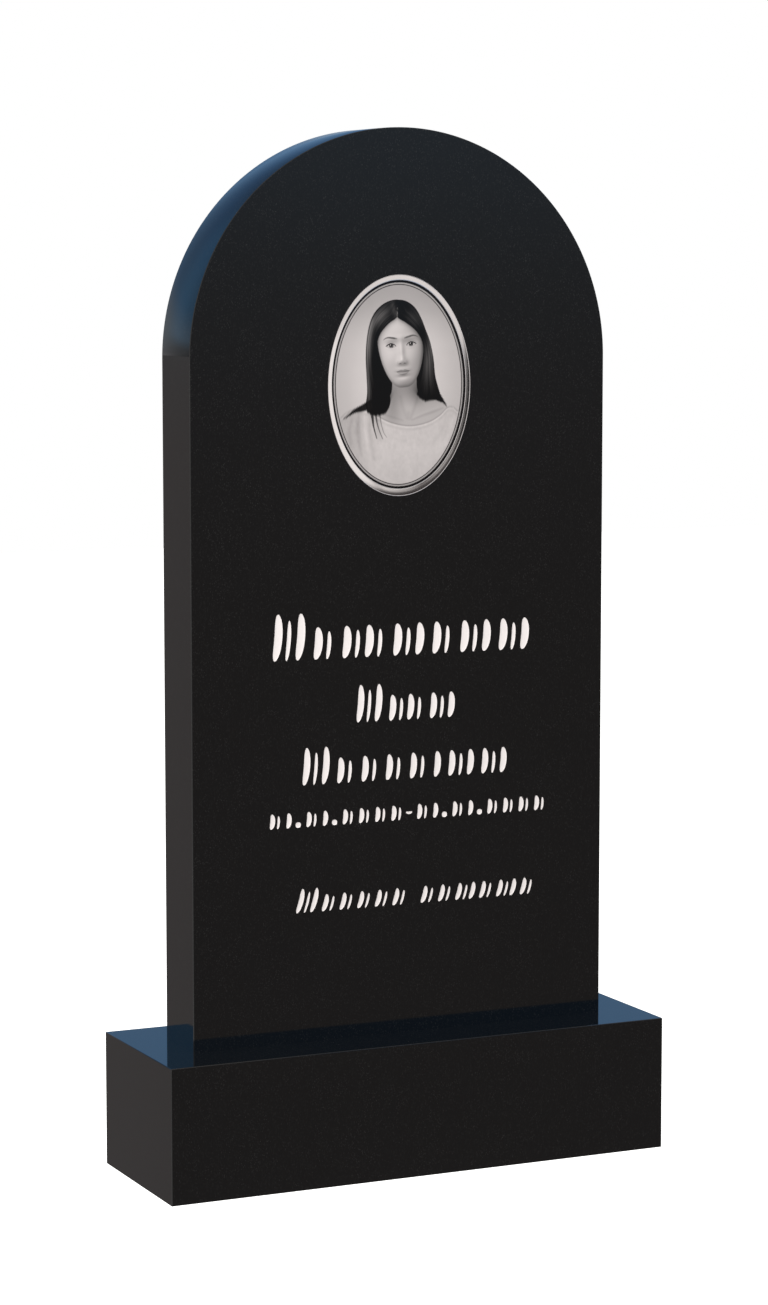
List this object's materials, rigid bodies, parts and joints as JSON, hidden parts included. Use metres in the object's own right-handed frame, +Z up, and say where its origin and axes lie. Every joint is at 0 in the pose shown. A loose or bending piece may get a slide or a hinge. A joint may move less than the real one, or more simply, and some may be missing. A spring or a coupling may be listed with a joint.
{
  "type": "headstone",
  "caption": "Round-topped headstone of polished black stone: a slab on a plain block stand, with a framed oval portrait plate and rows of shallow engraved strokes on its face.",
  "frame": {"origin": "middle of the stand's underside", "axes": "+Z up, the face with the portrait looks to -Y, +X to the right as one faces it"},
  "size_m": [0.6, 0.2, 1.1503],
  "materials": {
    "stand_stone": "polished black gabbro-diabase, sawn underside",
    "slab_stone": "polished black gabbro-diabase, engraved strokes painted off-white",
    "frame_metal": "pressed stainless steel, polished",
    "plate_ceramic": "fired oval plate with a printed grey portrait under clear glaze"
  },
  "bodies": {
    "root": {"stand": "stand_stone", "slab": "slab_stone", "portrait_frame": "frame_metal", "portrait_plate": "plate_ceramic"}
  },
  "joints": []
}
